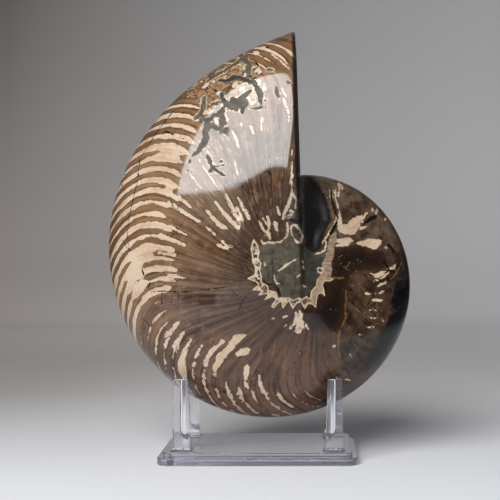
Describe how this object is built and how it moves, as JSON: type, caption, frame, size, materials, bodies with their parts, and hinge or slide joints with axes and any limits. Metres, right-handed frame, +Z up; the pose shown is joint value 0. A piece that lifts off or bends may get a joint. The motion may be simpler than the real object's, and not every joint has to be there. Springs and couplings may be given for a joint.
{
  "type": "polished fossil nautilus on display stand",
  "caption": "Whole polished fossil nautilus with banded shell and rock-filled navel, held upright between the posts of a clear moulded stand.",
  "frame": {"origin": "middle of the stand's underside, on the surface it rests on", "axes": "+Z up; +X from the wide young end of the last whorl to the older part of the coil; the shell's mid-plane is XZ and +Y points to the back"},
  "size_m": [0.1426, 0.0832, 0.2005],
  "materials": {
    "polished_shell": "polished, cream and brown growth bands",
    "clear_plastic": "clear, glossy, injection moulded"
  },
  "bodies": {
    "root": {"nautilus_fossil": "polished_shell", "display_stand": "clear_plastic"}
  },
  "joints": []
}
